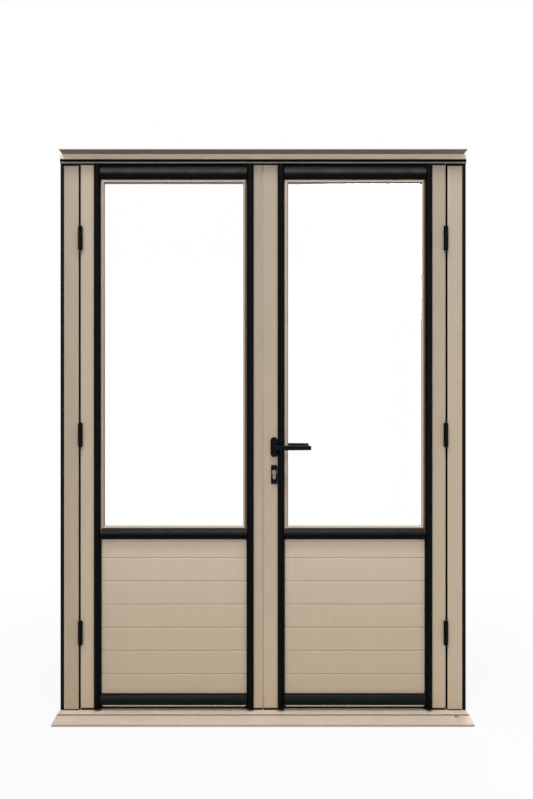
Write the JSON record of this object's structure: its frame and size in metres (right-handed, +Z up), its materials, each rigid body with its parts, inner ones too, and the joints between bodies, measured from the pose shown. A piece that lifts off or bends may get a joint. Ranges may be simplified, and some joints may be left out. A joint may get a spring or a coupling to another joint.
{
  "type": "double door",
  "caption": "Outward-opening half-glazed double door in its metal frame, with grooved lower panels, knuckle hinges, a lever handle and a sloping sill.",
  "frame": {"origin": "underside of the threshold, below the meeting line, in the plane of the leaves' outside faces", "axes": "+X to the right as seen from outside, +Y through the door to the inside, +Z up"},
  "size_m": [1.44, 0.21, 2],
  "materials": {
    "beige_paint": "satin powder coat",
    "panel_paint": "satin powder coat",
    "hood_paint": "matt powder coat",
    "black_paint": "satin powder coat",
    "black_hardware": "satin lacquer",
    "black_rubber": "matt",
    "black_plastic": "matt",
    "beige_seal": "matt",
    "clear_glass": "clear",
    "nickel": "satin nickel",
    "steel": "brushed"
  },
  "bodies": {
    "frame": {"threshold": "beige_paint", "sill_apron": "beige_paint", "header": "beige_paint", "header_gasket": "black_rubber", "drip_hood": "hood_paint", "jamb_caps": "black_plastic", "stop_gasket": "black_rubber", "left_jamb": "beige_paint", "right_jamb": "beige_paint", "left_side_seal": "black_plastic", "right_side_seal": "black_plastic", "left_frame_hinges": "black_hardware", "right_frame_hinges": "black_hardware"},
    "left_leaf": {"left_hinge_stile": "beige_paint", "left_meeting_stile": "beige_paint", "left_hinge_side_bar": "black_paint", "left_meeting_side_bar": "black_paint", "left_top_rail": "black_paint", "left_mid_rail": "black_paint", "left_bottom_rail": "black_paint", "left_glass": "clear_glass", "left_glazing_beads": "beige_paint", "left_panel": "panel_paint", "left_bottom_strip": "beige_paint", "left_leaf_hinges": "black_hardware", "meeting_seal": "beige_seal", "strike_plate": "steel"},
    "right_leaf": {"right_hinge_stile": "beige_paint", "right_meeting_stile": "beige_paint", "right_hinge_side_bar": "black_paint", "right_meeting_side_bar": "black_paint", "right_top_rail": "black_paint", "right_mid_rail": "black_paint", "right_bottom_rail": "black_paint", "right_glass": "clear_glass", "right_glazing_beads": "beige_paint", "right_panel": "panel_paint", "right_bottom_strip": "beige_paint", "right_leaf_hinges": "black_hardware", "lock_faceplate": "steel", "lock_cylinder": "nickel", "handle_roses": "black_hardware", "cylinder_escutcheons": "black_hardware"},
    "handle": {"outside_lever": "black_hardware", "inside_lever": "black_hardware", "spindle": "steel"}
  },
  "joints": [
    {"name": "left_leaf_swing", "type": "hinge", "parent": "frame", "child": "left_leaf", "pos_m": [-0.645, -0.0095, 0.989], "axis": [0, 0, -1], "range_deg": [0, 110]},
    {"name": "right_leaf_swing", "type": "hinge", "parent": "frame", "child": "right_leaf", "pos_m": [0.645, -0.0095, 0.989], "axis": [0, 0, 1], "range_deg": [0, 110]},
    {"name": "lever_turn", "type": "hinge", "parent": "right_leaf", "child": "handle", "pos_m": [0.039, 0.022, 0.946], "axis": [0, 1, 0], "range_deg": [0, 40], "stiffness_Nm_per_rad": 1.2, "springref_deg": -34.38}
  ]
}
